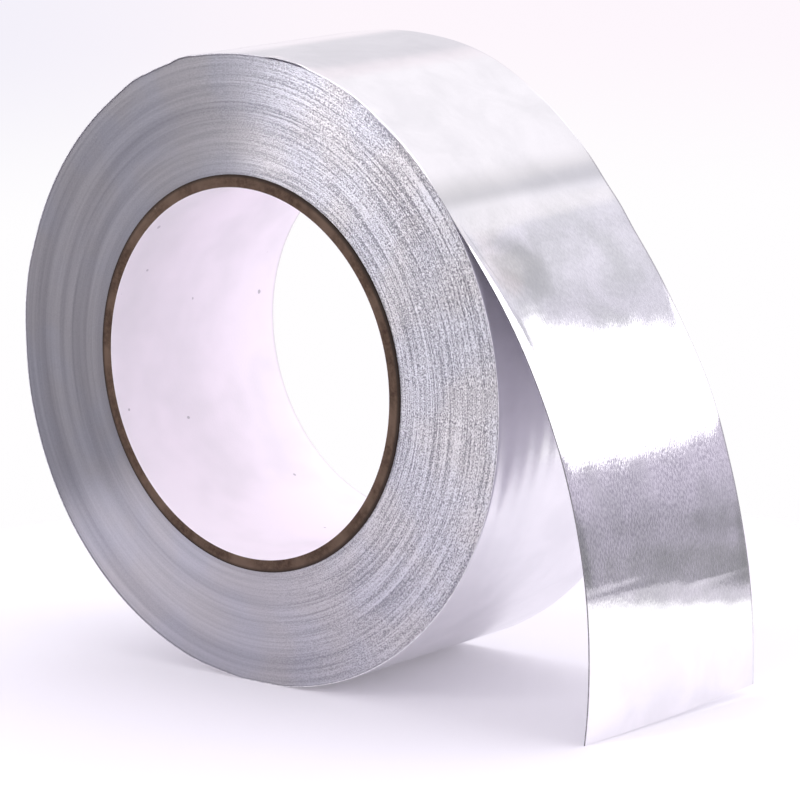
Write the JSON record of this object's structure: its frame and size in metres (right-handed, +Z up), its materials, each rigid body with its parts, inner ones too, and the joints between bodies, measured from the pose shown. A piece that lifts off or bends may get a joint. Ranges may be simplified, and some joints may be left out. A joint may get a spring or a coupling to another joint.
{
  "type": "roll of aluminium foil tape",
  "caption": "Roll of aluminium foil tape wound on a paperboard core, standing on its rim with its free end hanging down to the floor.",
  "frame": {"origin": "centre of the paperboard core's bore, midway along it", "axes": "+Y along the bore, from the front end face to the back; +Z up, the roll standing on the small flat on its rim; +X towards the hanging free end"},
  "size_m": [0.1533, 0.05, 0.1293],
  "materials": {
    "paperboard": "matte",
    "foil": "satin"
  },
  "bodies": {
    "root": {"paperboard_core": "paperboard", "foil_tape": "foil"}
  },
  "joints": []
}
